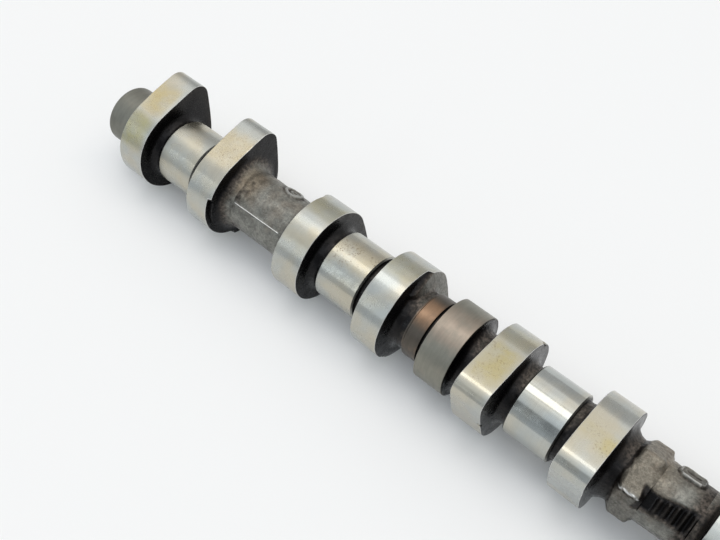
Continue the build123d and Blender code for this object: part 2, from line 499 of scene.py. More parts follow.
def add_flare(skin, sizes, face, way, foot, flare, raised=None):
    """Concave fillet between a neck and a lobe's face; way is -1 behind the lobe, 1 in front."""
    quarter = np.linspace(0, math.pi / 2, 5 if foot == NECK else 7)
    for turn in quarter if way < 0 else quarter[::-1]:
        x = face + way * flare * (1 - math.sin(turn))
        radius = cast_radius(sizes, x, foot + flare * (1 - math.cos(turn)), seed=face * 100)
        dark = flare_dark(foot, 1 - turn / (math.pi / 2), face)
        if raised is not None:
            dark = np.minimum(dark, 1 - raised_tone(raised, 0.0) * (0.25 + 0.6 * math.sin(turn)))
        lifted = x + raised_part(raised, 0.0) * math.sin(turn)
        skin.ring(lifted, radius, CAST_SKIN, dark=dark, stain=brown_patch(x))


def rim_offset(seed, amount):
    """Uneven place of a lobe's cast edge along the axis."""
    return amount * (lumps(seed, 0.009, seed * 7) + 0.35 * lumps(seed, 0.0025, seed * 3))


def stained(share, patches):
    """Stain at a share of a lobe's width, and how olive it is."""
    total = np.zeros(TURNS)
    olive = np.zeros(TURNS)
    for patch in patches:
        around = sector(patch.low, patch.high, (-7, 7), (-7, 7))
        rise = (patch.rear - 0.2, patch.rear + 0.2)
        fall = (patch.front - 0.2, patch.front + 0.2)
        amount = patch.strength * around * between(share, rise, fall)
        olive = np.where(amount > total, patch.olive, olive)
        total = np.maximum(total, amount)
    return total, olive


def add_lobe(skin, sizes, rear, nose, lobe):
    """One lobe with its rough side faces, worn rims and ground surface."""
    front = rear + LOBE_WIDTH
    rim = lobe_radius(sizes, nose)
    wear = sizes.rim_wear
    rear_edge = rim_offset(lobe.seed + 0.1, lobe.rear_uneven) + lobe.rear_shift
    front_edge = rim_offset(lobe.seed + 0.7, lobe.front_uneven) + lobe.front_shift
    if lobe.rear_flare:
        add_flare(skin, sizes, rear, -1, lobe.rear_foot, lobe.rear_flare)
    else:
        skin.ring(rear, lobe.rear_foot, CAST_SKIN, dark=0.6)
    add_face(skin, sizes, rear, -1, lobe.rear_foot + lobe.rear_flare, rim, rear_edge)
    rear_x = rear + rear_edge
    front_x = front + front_edge + raised_part(lobe.raised, 1.0)
    if lobe.step is not None:
        _, beyond = step_edge(lobe.step, rim)
        front_x = front_x - np.where(beyond, lobe.step.depth, 0.0)
    chipped = np.zeros(TURNS)
    for chip in lobe.chips:
        bite = peak(turn_from(chip.angle), chip.width) * (1 + 0.35 * lumps(chip.angle, 0.0012, chip.angle))
        chipped = np.clip(np.maximum(chipped, bite), 0, 1)
        front_x = front_x - chip.depth * bite
    front_rim = rim - CHIP_HEIGHT * chipped
    for share in LOBE_SHARES:
        stain, olive = stained(share, lobe.stains)
        marks = {"stain": stain, "olive": olive, "pits": lobe.pits * np.clip(1.5 * stain, 0.1, 1)}
        if share in (0.0, 1.0):
            marks.update(rub=1 - chipped, dark=chipped)
        x = rear_x + wear + share * (front_x - rear_x - 2 * wear)
        radius = front_rim if share == 1 else rim
        skin.ring(x, radius, CAST_SKIN if share == 0 else GROUND_LOBE, **marks)
    inner = lobe.front_foot + lobe.front_flare
    add_face(skin, sizes, front, 1, inner, front_rim, front_edge, lobe.step, lobe.raised)
    add_flare(skin, sizes, front, 1, lobe.front_foot, lobe.front_flare, lobe.raised)


# ---- what lies between and beside the lobes ----
def add_neck(skin, sizes, start, end, seed=0.0):
    """Short cast neck between two turned or ground places."""
    for x in np.linspace(start, end, 3 + int((end - start) / NECK_STEP))[1:-1]:
        skin.ring(x, cast_radius(sizes, x, NECK, seed=seed), CAST_SKIN, dark=neck_dark(x, seed))


def add_journal(skin, sizes, middle, marks):
    """Ground bearing journal with turned shoulders, painted shade on their end faces, and bevelled rims."""
    radius = sizes.journal_radius
    rim = radius - BEVEL
    shade_edge = rim - 0.0003
    low, high = middle - JOURNAL_WIDTH / 2, middle + JOURNAL_WIDTH / 2
    # Both shoulders' end faces down to the neck are near black: painted shade in the corners beside the
    # necks.
    skin.ring(low, NECK, CAST_SKIN, dark=0.9)
    skin.ring(low, shade_edge, CAST_SKIN, dark=0.9)
    skin.ring(low, rim, TURNED_END)
    skin.ring(low + BEVEL, radius, TURNED_END, **marks)
    beside = BEVEL + 0.0002
    for x in (low + beside, low + 0.005, middle, high - 0.005, high - beside, high - BEVEL):
        skin.ring(x, radius, GROUND_JOURNAL, **marks)
    skin.ring(high, rim, TURNED_END)
    skin.ring(high, shade_edge, TURNED_END, dark=0.9)
    skin.ring(high, NECK, CAST_SKIN, dark=0.9)


def add_cylinder(skin, sizes, number):
    """Both lobes of one cylinder, with the bearing journal and the two necks between them."""
    middle = CYLINDER[number]
    rear = middle - GROUP_HALF
    front = middle + LOBE_SPACING / 2 - LOBE_WIDTH / 2
    rear_lobe, front_lobe = LOBES[number]
    add_lobe(skin, sizes, rear, NOSE_ANGLE[number], rear_lobe)
    add_neck(skin, sizes, rear + LOBE_WIDTH + NECK_FLARE, middle - JOURNAL_WIDTH / 2)
    add_journal(skin, sizes, middle, JOURNAL_MARKS[number])
    add_neck(skin, sizes, middle + JOURNAL_WIDTH / 2, front - NECK_FLARE)
    add_lobe(skin, sizes, front, NOSE_ANGLE[number], front_lobe)


def add_spigot(skin, sizes, front):
    """Rear spigot with its centre hole, flat end and rounded rim."""
    for radius in (0.001, 0.002, CENTRE_HOLE):
        skin.ring(SPIGOT_END + CENTRE_DEPTH * (1 - radius / CENTRE_HOLE), radius, TURNED_END)
    for radius in (0.0032, 0.006, 0.0085):
        skin.ring(SPIGOT_END, radius, SPIGOT_METAL)
    for turn in np.linspace(0, math.pi / 2, 6):
        x = SPIGOT_END + SPIGOT_ROUND * (1 - math.cos(turn))
        skin.ring(x, SPIGOT - SPIGOT_ROUND * (1 - math.sin(turn)), SPIGOT_METAL)
    for x in np.linspace(SPIGOT_END + 0.002, front - 0.0002, 9):
        skin.ring(x, SPIGOT + 0.3 * sizes.skin_height * lumps(x, 0.003, 8.0), SPIGOT_METAL)


def loop_height(u, v, length, width, line):
    """Height share of a raised oval line in the plane of a mark."""
    a, b = (length - line) / 2, (width - line) / 2
    off = (np.sqrt((u / a) ** 2 + (v / b) ** 2) - 1) * b
    return 1 - eased(np.abs(off), 0.25 * line, 0.75 * line)


def oval_mark(x, angles):
    """Raised double oval on the cast shaft: its height share and the painted shade in the hollows beside its
    lines.
    """
    u = x - OVAL_PLACE
    v = CAST_SHAFT * np.radians(turn_from(MARK_ANGLE - 6.0, angles))
    outer = loop_height(u, v, 0.0082, 0.0068, 0.0012)
    inner = loop_height(u - 0.0007, v - 0.0004, 0.0040, 0.0030, 0.0010)
    mark = np.maximum(outer, 0.8 * inner)
    hollow = (1 - mark) * loop_height(u, v, 0.0088, 0.0074, 0.0044)
    return mark, hollow


def add_cast_shaft(skin, sizes, start, end):
    """Cast shaft between two cylinders, with the mould's flash line, a raised oval with painted shade beside
    its lines, and darker patches near its rear end.
    """
    near = peak(turn_from(FLASH_ANGLE), 14.0)
    for x in np.arange(start, end, SHAFT_STEP):
        share = (x - start) / (end - start)
        line = 136.9 - 1.4 * share
        angles = ANGLE + (line - FLASH_ANGLE) * near
        off = turn_from(line, angles)
        opposite = turn_from(line + 180, angles)
        ends = between(x, (start, start + 0.0012), (end - 0.0012, end))
        unbroken = 0.75 + 0.25 * eased(lumps(x, 0.0031, 31.0)[0], -0.35, 0.0)
        flash = (unbroken * peak(off, 1.0) + 0.7 * peak(opposite, 1.5)) * ends
        mark, hollow = oval_mark(x, angles)
        radius = cast_radius(sizes, x, CAST_SHAFT + 0.0001 * (1 - share), angles, 2.0)
        radius = radius + sizes.flash_height * flash + sizes.mark_height * mark
        radius = radius - 0.00012 * ends * between(off, (0.0, 2.0), (40.0, 120.0))
        dark = 0.6 * (1 - eased(share, 0.0, 0.35)) * eased(lumps(x, 0.004, 17.0, 2, angles), -0.3, 0.5)
        # Painted shade in the hollows beside the oval's lines.
        dark = np.maximum(dark, 0.75 * hollow)
        rub = np.clip(1.3 * flash + 0.45 * mark, 0, 1)
        skin.ring(x, radius, CAST_SKIN, angles, rub=rub, dark=dark, stain=brown_patch(x))


def add_ring_and_disc(skin, sizes):
    """Narrow turned ring, the groove in front of it, near black with dark skin and painted shade, and the
    plain disc.
    """
    # Painted highlight: a warmer, paler tint over the top of the ring and the disc.
    warm = sector(95.0, 95.0, (-38, -12), (12, 36))
    groove = 0.01185
    ring_places = (RING_REAR + RIM_BEVEL, -0.1949, -0.1935, -0.192, -0.1905, -0.1899)
    disc_places = (DISC_REAR + RIM_BEVEL, -0.1868, -0.183, -0.179, -0.1754, DISC_FRONT - RIM_BEVEL)
    rows = [(RING_REAR, NECK, RING_METAL, 0.0), (RING_REAR, RING_RIM, RING_METAL, 0.0)]
    rows += [(x, RING, RING_METAL, 0.0) for x in ring_places]
    rows += [(RING_FRONT - RIM_BEVEL, RING, RING_METAL, 0.9), (RING_FRONT, RING_RIM, CAST_SKIN, 0.9)]
    rows += [(RING_FRONT, groove, CAST_SKIN, 0.9), (DISC_REAR, groove, CAST_SKIN, 0.9)]
    rows += [(DISC_REAR, DISC_RIM, CAST_SKIN, 0.9)]
    rows += [(x, DISC, DISC_METAL, 0.0) for x in disc_places]
    for x, radius, finish, dark in rows:
        skin.ring(x, radius, finish, stain=warm, dark=dark)
    rim = np.full(TURNS, DISC + sizes.rim_wear - 0.0004)
    add_face(skin, sizes, DISC_FRONT, 1, NECK + NECK_FLARE, rim, np.zeros(TURNS))
    add_flare(skin, sizes, DISC_FRONT, 1, NECK, NECK_FLARE)


def hexagon_radius(angles, across_flats, rounding, corner):
    """Radius of a hexagon with rounded corners, one of them at the given angle."""
    flat = across_flats / 2
    off = np.abs((angles - corner) % 60.0 - 30.0)
    centre = (flat - rounding) / math.cos(math.pi / 6)
    reach = np.radians(30.0 - off)
    arc = centre * np.cos(reach) + np.sqrt(np.maximum(rounding**2 - (centre * np.sin(reach)) ** 2, 0))
    straight = flat / np.cos(np.radians(off))
    turn = math.degrees(math.atan2(math.tan(math.pi / 6) * (flat - rounding), flat))
    return np.where(off < turn, straight, arc)


def hexagon_dark(x, start, end):
    """Black behind the hexagon, partly the neck's dark skin and partly painted shade; grey over it, with
    painted shade over its lower, front-facing half beyond the parting line; painted shade round its front
    end, deepest beside the panel.
    """
    behind = 0.85 * (1 - eased(x + 0.0007 * lumps(x, 0.003, 8.0), start - 0.0007, start + 0.0002))
    by_panel = sector(114.0, 158.0, (-3, 3), (-4, 4))
    faded = (1 - by_panel) * eased(x, end + 0.0006, end + 0.0018)
    in_front = (0.2 + 0.7 * by_panel) * eased(x, end - 0.001, end) * (1 - faded)
    over = 0.14 + 0.16 * eased(turn_from(138.0), 0, 10)
    return np.maximum(np.maximum(behind, in_front), over)


def add_hexagon(skin, sizes, start, end):
    """Cast hexagon for a spanner, rounded along its edges, with a broken parting line and painted shadow
    beneath it.
    """
    outline = hexagon_radius(ANGLE, HEXAGON_FLATS, HEXAGON_ROUNDING, PARTING_ANGLE)
    corner = np.clip((outline - HEXAGON_FLATS / 2) / 0.0014, 0, 1)
    run_out = ((-0.0008, 0.97), (-0.0002, 0.82), (0.0004, 0.58), (0.001, 0.34), (0.0018, 0.12))
    rows = [(start + x, float(eased(x, -0.0017, 0.0013))) for x in np.linspace(-0.0014, 0.0013, 7)]
    rows += [(x, 1.0) for x in np.linspace(start + 0.0018, end - 0.0014, 7)]
    rows += [(end + x, share) for x, share in run_out]
    for x, share in rows:
        middle = PARTING_ANGLE + 1.0 + math.sin((x - start) * 2300)
        broken = share * (0.45 + 0.55 * eased(lumps(x, 0.0012, 3.0)[0], -0.5, 0.0))
        line = broken * peak(turn_from(middle), 1.8)
        # Painted shadow: a dark strip just below the parting line, where the surface also dips.
        under = broken * peak(turn_from(middle + 4.5), 2.2)
        radius = cast_radius(sizes, x, NECK + (outline - NECK) * share, seed=4.0)
        radius = radius + 0.00035 * line - 0.0004 * under
        rub = np.maximum(0.25 * share * eased(corner, 0.64, 0.93), 0.95 * line)
        dark = np.maximum(hexagon_dark(x, start, end), 0.8 * under)
        reach = 0.0014 * corner * share * eased(x, end - 0.0045, end - 0.001)
        skin.ring(x + reach, radius, CAST_SKIN, rub=rub, dark=dark, stain=brown_patch(x))


def plate_mark(x):
    """Raised plate on the slim shaft: shares of its body, its border, its slot and what surrounds it."""
    u = abs(x - PLATE_PLACE)
    v = np.abs(0.0125 * np.radians(turn_from(MARK_ANGLE - 2.0)))
    out = np.maximum(np.maximum(u - 0.0045, v - 0.0029), u + v - 0.0061)
    plate = 1 - eased(out, -0.0003, 0.0004)
    border = plate * eased(out, -0.0009, -0.0005)
    slot = (1 - eased(v, 0.0004, 0.0009)) * (1 - eased(u, 0.0022, 0.0029))
    around = (1 - eased(out, 0.0003, 0.0011)) * (1 - border)
    return plate, border, slot, around


def sunk_panel(x, start, end):
    """Sunk panel on the slim shaft: shares of its depth, which also sets its painted shade, its cross ribs
    and the painted highlight on the lip above it.
    """
    low, high = start + 0.0006, end - 0.0006
    share = (x - low) / (high - low)
    upper = np.interp(share, *PANEL_UPPER)
    lower = np.interp(share, *PANEL_LOWER)
    wave = 1.5 * lumps(x, 0.0025, 21.0)
    inside = eased(ANGLE + wave, upper - 4.0, upper + 5.0) * (1 - eased(ANGLE, lower - 10.0, lower + 6.0))
    inside = inside * between(x, (low, low + 0.0012), (high - 0.0012, high))
    place = share * RIB_PITCHES
    rib = 1 - eased(abs((place + 0.5) % 1 - 0.5), 0.05, 0.45) if 1.6 <= place <= 6.6 else 0.0
    rib = rib * (1 - 0.4 * eased(ANGLE, lower - 22.0, lower)) * eased(ANGLE, upper, upper + 12.0)
    lip = (1 - eased(np.abs(turn_from(upper - 6.0)), 1.0, 6.0)) * between(share, (0.2, 0.4), (0.9, 1.0))
    return inside, rib, lip


def add_slim_shaft(skin, sizes, start, end):
    """Slim cast shaft with the raised plate mark and the sunk panel with its cross ribs, painted shade in
    the panel, round the plate and towards the lobe, and a painted highlight on the panel's lip.
    """
    for x in np.arange(start + 0.0022, end - NECK_FLARE, SLIM_STEP):
        plate, border, slot, around = plate_mark(x)
        inside, rib, lip = sunk_panel(x, start, end)
        radius = cast_radius(sizes, x, SLIM_SHAFT, seed=6.0)
        radius = radius + 0.0009 * plate + 0.0004 * border - 0.0003 * slot
        floor = (SLIM_SHAFT - 0.0018 + 0.0011 * rib) / np.maximum(np.cos(np.radians(turn_from(136.0))), 0.5)
        radius = radius - inside * np.maximum(radius - floor, 0)
        # The plate's rubbed border, and a painted highlight along the lip above the panel.
        rub = np.clip(0.5 * border + 0.28 * lip * eased(lumps(x, 0.0012, 23.0), -0.2, 0.6), 0, 1)
        # Painted shade: the sunk panel near black, its cross ribs a little lighter.
        panel_shade = inside * (0.96 - 0.13 * rib)
        # Painted shade in the slot and round the plate.
        plate_shade = (0.25 + 0.35 * slot + 0.35 * (1 - plate)) * around
        # A little grey all along, then painted shade growing towards the lobe at the end.
        shade_towards_lobe = 0.14 + 0.56 * eased(x, end - 0.009, end - 0.0035)
        dark = np.maximum(np.maximum(panel_shade, plate_shade), shade_towards_lobe)
        skin.ring(x, radius, CAST_SKIN, rub=rub, dark=dark, stain=brown_patch(x))


# ---- front end ----
def add_front_journal(skin, sizes):
    """Thrust collar, relief groove and front bearing journal."""
    radius = sizes.journal_radius
    groove = 0.0129
    rows = [
        (COLLAR_REAR, NECK + COLLAR_FILLET, TURNED_END),
        (COLLAR_REAR, COLLAR - COLLAR_BEVEL, TURNED_END),
        (COLLAR_REAR + COLLAR_BEVEL, COLLAR, GROUND_JOURNAL),
        (COLLAR_FRONT - COLLAR_BEVEL, COLLAR, GROUND_JOURNAL),
        (COLLAR_FRONT, COLLAR - COLLAR_BEVEL, TURNED_END),
        (COLLAR_FRONT, groove + 0.0004, TURNED_END),
        (COLLAR_FRONT + 0.0002, groove, TURNED_END),
        (FRONT_JOURNAL_REAR, groove, TURNED_END),
        (FRONT_JOURNAL_REAR, radius - BEVEL, TURNED_END),
        (FRONT_JOURNAL_REAR + BEVEL, radius, TURNED_END),
    ]
    places = (FRONT_JOURNAL_REAR + BEVEL + 0.0002, -0.013, -0.007, -BEVEL - 0.0002, -BEVEL)
    rows += [(x, radius, GROUND_JOURNAL) for x in places]
    rows += [(0.0, radius - BEVEL, TURNED_END), (0.0, SEAT, TURNED_END)]
    for row in rows:
        skin.ring(*row)


def keyway_ring(radius, half):
    """Radii and angles of a ring round the seat, sunk to the keyway's floor between its walls."""
    angles = ANGLE.copy()
    radii = np.full(TURNS, radius)
    if half > KEYWAY_HALF / 10:
        wall = math.degrees(math.asin(half / radius))
        floor = math.degrees(math.atan2(half, KEYWAY_FLOOR))
        off = turn_from(KEYWAY_ANGLE)
        first = np.argmin(np.abs(off + wall))
        last = np.argmin(np.abs(off - wall))
        for index, sign in ((first, -1), (last, 1)):
            angles[index] = KEYWAY_ANGLE + sign * wall
            angles[index - sign] = KEYWAY_ANGLE + sign * floor
        inner = np.arange(first + 1, last)
        across = np.linspace(-floor, floor, len(inner))
        angles[inner] = KEYWAY_ANGLE + across
        radii[inner] = KEYWAY_FLOOR / np.cos(np.radians(across))
    return radii, angles


def end_face_angles(radius):
    """Angles of a ring on the seat's end face, spread round the keyway so that no face folds over."""
    step = 360.0 / TURNS
    clear = 3.7
    floor = math.degrees(math.atan2(KEYWAY_HALF, KEYWAY_FLOOR))
    wall = step * round(math.degrees(math.asin(KEYWAY_HALF / radius)) / step)
    off = turn_from(KEYWAY_ANGLE)
    away = np.abs(off)
    within = away * floor / (wall - step)
    beside = 180.0 - (180.0 - away) * (180.0 - clear - floor) / (180.0 - wall)
    return KEYWAY_ANGLE + np.sign(off) * np.where(away < wall - 0.5 * step, within, beside)


def add_seat(skin):
    """Sprocket seat with its keyway, whose inner end is round, and its bevelled end."""
    cut = SEAT_END - KEYWAY_LENGTH
    round_end = np.linspace(cut, cut + KEYWAY_HALF, 7)
    for x in (0.0002, 0.003, cut - 0.0001, *round_end, 0.011, 0.014, SEAT_END - SEAT_BEVEL, SEAT_END):
        inset = max(cut + KEYWAY_HALF - x, 0.0)
        half = math.sqrt(max(KEYWAY_HALF**2 - inset**2, 0.0)) if x >= cut else 0.0
        radii, angles = keyway_ring(SEAT - SEAT_BEVEL if x == SEAT_END else SEAT, half)
        skin.ring(x, radii, TURNED_END, angles)
    skin.ring(SEAT_END, 0.0073, TURNED_END, end_face_angles(SEAT - SEAT_BEVEL))


def add_bolt_hole(skin):
    """Threaded hole in the seat's end, with its countersink and its plain bottom."""
    countersink = 0.00125
    skin.ring(SEAT_END, BOLT_HOLE + countersink, TURNED_END)
    skin.ring(SEAT_END - countersink, BOLT_HOLE, TURNED_END)
    for x in np.arange(SEAT_END - 0.0016, SEAT_END - 0.0125, -THREAD_PITCH / 4):
        phase = (x / THREAD_PITCH - ANGLE / 360.0) % 1.0
        groove = 1 - np.abs(phase - 0.5) * 2
        skin.ring(x, BOLT_HOLE + THREAD_DEPTH * eased(groove, 0.15, 0.85), TURNED_END)
    skin.ring(SEAT_END - 0.0127, BOLT_HOLE, TURNED_END)
    skin.ring(HOLE_BOTTOM, BOLT_HOLE, TURNED_END)


def build_skin(sizes):
    """The whole casting from the spigot's end to the bottom of the bolt hole."""
    skin = Skin()
    rear = {n: middle - GROUP_HALF for n, middle in CYLINDER.items()}
    front = {n: middle + GROUP_HALF for n, middle in CYLINDER.items()}
    add_spigot(skin, sizes, rear[4])
    add_cylinder(skin, sizes, 4)
    add_cast_shaft(skin, sizes, front[4] + SHAFT_FLARE + 0.0004, rear[3] - SHAFT_FLARE)
    add_cylinder(skin, sizes, 3)
    add_neck(skin, sizes, front[3] + NECK_FLARE, RING_REAR, 12.0)
    add_ring_and_disc(skin, sizes)
    add_neck(skin, sizes, DISC_FRONT + NECK_FLARE, rear[2] - NECK_FLARE, 13.0)
    add_cylinder(skin, sizes, 2)
    add_hexagon(skin, sizes, HEXAGON_REAR, HEXAGON_FRONT)
    add_slim_shaft(skin, sizes, HEXAGON_FRONT, rear[1])
    add_cylinder(skin, sizes, 1)
    add_neck(skin, sizes, front[1] + NECK_FLARE, COLLAR_REAR - COLLAR_FILLET)
    add_front_journal(skin, sizes)
    add_seat(skin)
    add_bolt_hole(skin)
    return skin.mesh("camshaft_casting", SPIGOT_END + CENTRE_DEPTH, HOLE_BOTTOM)


# ---- colours inside the finishes ----
WARMER, COOLER = (1.04, 1.0, 0.93), (0.95, 1.0, 1.06)
SPOT = (0.20, 0.13, 0.075)
SPECK = (0.55, 0.53, 0.48)
BROWNER = (1.08, 0.9, 0.72)
NECK_HOLLOW, NECK_GRAIN = (0.03, 0.026, 0.021), (0.115, 0.094, 0.078)
# Pale tone of rubbed metal, also given to painted highlights.
RUBBED_AND_HIGHLIGHT = (0.75, 0.75, 0.73)
RING_TINT, DISC_TINT = (0.24, 0.155, 0.10), (0.31, 0.26, 0.21)
SPIGOT_GREY, SPIGOT_TINT = (0.215, 0.213, 0.183), (0.28, 0.24, 0.195)
FLOOR_GLOW = (0.92, 0.924, 0.918)


# ---- finishes ----
def node(tree, kind, inputs=None, **settings):
    """Adds a shader node; an input is a value or another node's output."""
    made = tree.nodes.new(kind)
    for key, value in settings.items():
        setattr(made, key, value)
    for key, value in (inputs or {}).items():
        if isinstance(value, bpy.types.NodeSocket):
            tree.links.new(value, made.inputs[key])
        else:
            made.inputs[key].default_value = value
    return made


def mixed(tree, factor, first, second, blend="MIX"):
    """Colour between two others."""
    made = node(tree, "ShaderNodeMix", {0: factor, 6: first, 7: second}, data_type="RGBA", blend_type=blend)
    return made.outputs[2]


def ranged(tree, value, low, high, to_low=0.0, to_high=1.0):
    """Value moved smoothly from one range to another."""
    inputs = {"Value": value, "From Min": low, "From Max": high, "To Min": to_low, "To Max": to_high}
    return node(tree, "ShaderNodeMapRange", inputs, interpolation_type="SMOOTHSTEP").outputs[0]


def maths(tree, operation, first, second=0.0):
    """Result of one operation on two values."""
    return node(tree, "ShaderNodeMath", {0: first, 1: second}, operation=operation).outputs[0]


def grain(tree, scale, detail=3.0, roughness=0.55, stretch=(1.0, 1.0, 1.0)):
    """Noise in the piece's own coordinates; scale is in grains per metre."""
    place = node(tree, "ShaderNodeTexCoord").outputs["Object"]
    if stretch != (1.0, 1.0, 1.0):
        place = node(tree, "ShaderNodeMapping", {"Vector": place, "Scale": stretch}).outputs[0]
    inputs = {"Vector": place, "Scale": scale, "Detail": detail, "Roughness": roughness}
    return node(tree, "ShaderNodeTexNoise", inputs).outputs["Fac"]


def attribute(tree, name):
    """One of the skin's marks."""
    return node(tree, "ShaderNodeAttribute", attribute_name=name).outputs["Fac"]


def bump(tree, height, strength, distance):
    """Surface direction from a height; the distance is in metres."""
    inputs = {"Height": height, "Strength": strength, "Distance": distance}
    return node(tree, "ShaderNodeBump", inputs).outputs[0]


def new_finish(name, metallic, roughness):
    """Empty material with its shader: (material, tree, shader node)."""
    material = bpy.data.materials.new(name)
    material.use_nodes = True
    tree = material.node_tree
    tree.nodes.clear()
    shader = node(tree, "ShaderNodeBsdfPrincipled", {"Metallic": metallic, "Roughness": roughness})
    output = node(tree, "ShaderNodeOutputMaterial")
    tree.links.new(shader.outputs[0], output.inputs["Surface"])
    return material, tree, shader


def drive(tree, shader, **sockets):
    """Links outputs to the shader's inputs, which are named in lower case."""
    for key, value in sockets.items():
        tree.links.new(value, shader.inputs[key.replace("_", " ").title()])


def rgba(colour):
    """Opaque colour."""
    return (colour[0], colour[1], colour[2], 1.0)


def ground_finish(name, colour, stain, olive, roughness, line_depth):
    """Ground metal: fine lines round the shaft, straw to olive stain, brown spots and soft patches."""
    material, tree, shader = new_finish(name, 1.0, roughness)
    shader.inputs["Anisotropic"].default_value = 0.85
    shader.inputs["Anisotropic Rotation"].default_value = 0.25
    around = node(tree, "ShaderNodeTangent", direction_type="RADIAL", axis="X").outputs[0]
    lines = grain(tree, 1.0, 2.0, 0.6, (5200.0, 60.0, 60.0))
    patches = grain(tree, 140.0, 4.0, 0.6)
    cloud = grain(tree, 75.0, 2.0, 0.5)
    shade = ranged(tree, lines, 0.3, 0.7, 0.97, 1.03)
    shade = maths(tree, "MULTIPLY", shade, ranged(tree, patches, 0.25, 0.75, 0.92, 1.05))
    tone = mixed(tree, 1.0, rgba(colour), shade, "MULTIPLY")
    drift = mixed(tree, ranged(tree, cloud, 0.35, 0.65), rgba(WARMER), rgba(COOLER))
    tone = mixed(tree, 1.0, tone, drift, "MULTIPLY")
    blotches = ranged(tree, grain(tree, 170.0, 3.0, 0.6), 0.32, 0.68, 0.5, 1.0)
    stain = mixed(tree, attribute(tree, "olive"), rgba(stain), rgba(olive))
    tone = mixed(tree, maths(tree, "MULTIPLY", attribute(tree, "stain"), blotches), tone, stain)
    spots = ranged(tree, grain(tree, 1700.0, 2.0, 0.6), 0.56, 0.66)
    area = ranged(tree, grain(tree, 130.0, 2.0, 0.5), 0.36, 0.60)
    spotted = maths(tree, "MULTIPLY", maths(tree, "MULTIPLY", spots, area), attribute(tree, "pits"))
    tone = mixed(tree, maths(tree, "MULTIPLY", spotted, 0.75), tone, rgba(SPOT))
    rough = ranged(tree, patches, 0.3, 0.7, roughness - 0.03, roughness + 0.04)
    patchy = maths(tree, "MULTIPLY", attribute(tree, "dull"), ranged(tree, patches, 0.3, 0.7, 0.08, 0.3))
    rough = maths(tree, "ADD", rough, patchy)
    pitted = maths(tree, "MULTIPLY", spotted, 0.3)
    rough = maths(tree, "ADD", rough, pitted)
    normal = bump(tree, maths(tree, "SUBTRACT", lines, pitted), 0.5, line_depth)
    drive(tree, shader, base_color=tone, roughness=rough, normal=normal, tangent=around)
    return material


def cast_finish(name, dark, light, rust, black):
    """Rough sand cast iron: fine grain with glinting specks, brown patches, rubbed lines with painted
    highlights, black faces and painted shade where marked dark.
    """
    material, tree, shader = new_finish(name, 0.7, 0.45)
    shader.inputs["Specular IOR Level"].default_value = 0.5
    coarse = grain(tree, 900.0, 3.0, 0.6)
    fine = grain(tree, 2300.0, 3.0, 0.65)
    patches = grain(tree, 120.0, 3.0, 0.6)
    mottle = grain(tree, 330.0, 2.0, 0.5)
    # The dark mark: black skin of faces and necks, and painted shade.
    blackness = attribute(tree, "dark")
    tone = mixed(tree, ranged(tree, fine, 0.3, 0.7, 0.25, 0.75), rgba(dark), rgba(light))
    tone = mixed(tree, ranged(tree, patches, 0.42, 0.68, 0.0, 0.6), tone, rgba(rust))
    tone = mixed(tree, 1.0, tone, ranged(tree, coarse, 0.3, 0.7, 0.85, 1.15), "MULTIPLY")
    tone = mixed(tree, 1.0, tone, ranged(tree, mottle, 0.3, 0.7, 0.8, 1.18), "MULTIPLY")
    specks = maths(tree, "MULTIPLY", ranged(tree, fine, 0.60, 0.74), 0.25)
    tone = mixed(tree, specks, tone, rgba(SPECK))
    tone = mixed(tree, attribute(tree, "stain"), tone, mixed(tree, 1.0, tone, rgba(BROWNER), "MULTIPLY"))
    brown = mixed(tree, ranged(tree, coarse, 0.35, 0.7), rgba(NECK_HOLLOW), rgba(NECK_GRAIN))
    tone = mixed(tree, ranged(tree, blackness, 0.0, 0.7), tone, brown)
    tone = mixed(tree, ranged(tree, blackness, 0.6, 1.0), tone, rgba(black))
    # Rubbed metal and painted highlights.
    tone = mixed(tree, ranged(tree, attribute(tree, "rub"), 0.2, 0.9), tone, rgba(RUBBED_AND_HIGHLIGHT))
    rough = ranged(tree, coarse, 0.3, 0.7, 0.52, 0.36)
    rough = maths(tree, "MULTIPLY", rough, ranged(tree, blackness, 0.7, 1.0, 1.0, 0.62))
    height = maths(tree, "ADD", coarse, maths(tree, "MULTIPLY", fine, 0.5))
    height = maths(tree, "MULTIPLY", height, ranged(tree, blackness, 0.3, 1.0, 1.0, 0.3))
    drive(tree, shader, base_color=tone, roughness=rough, normal=bump(tree, height, 0.8, 0.00022))
    return material


def turned_finish(name, colour, tint, roughness):
    """Turned metal with lathe lines, a tint where marked (a painted highlight over the top of the ring and
    disc, stain at the journals' ends) and cloudy patches.
    """
    material, tree, shader = new_finish(name, 1.0, roughness)
    lines = grain(tree, 1.0, 2.0, 0.6, (2600.0, 40.0, 40.0))
    patches = grain(tree, 190.0, 4.0, 0.65)
    streaks = grain(tree, 1.0, 3.0, 0.6, (500.0, 160.0, 160.0))
    warm = maths(tree, "MULTIPLY", attribute(tree, "stain"), ranged(tree, patches, 0.25, 0.6, 0.55, 1.0))
    warm = maths(tree, "ADD", warm, ranged(tree, patches, 0.5, 0.75, 0.0, 0.35))
    tone = mixed(tree, warm, rgba(colour), rgba(tint))
    tone = mixed(tree, 1.0, tone, ranged(tree, lines, 0.3, 0.7, 0.95, 1.03), "MULTIPLY")
    tone = mixed(tree, 1.0, tone, ranged(tree, streaks, 0.3, 0.7, 0.92, 1.04), "MULTIPLY")
    rough = ranged(tree, patches, 0.3, 0.7, roughness + 0.08, roughness - 0.05)
    drive(tree, shader, base_color=tone, roughness=rough, normal=bump(tree, lines, 0.5, 0.00004))
    return material


# ---- settings ----
def length(name, text, default):
    """Setting for a size in metres."""
    return FloatProperty(name=name, description=text, default=default, min=0.0, unit="LENGTH", precision=5)


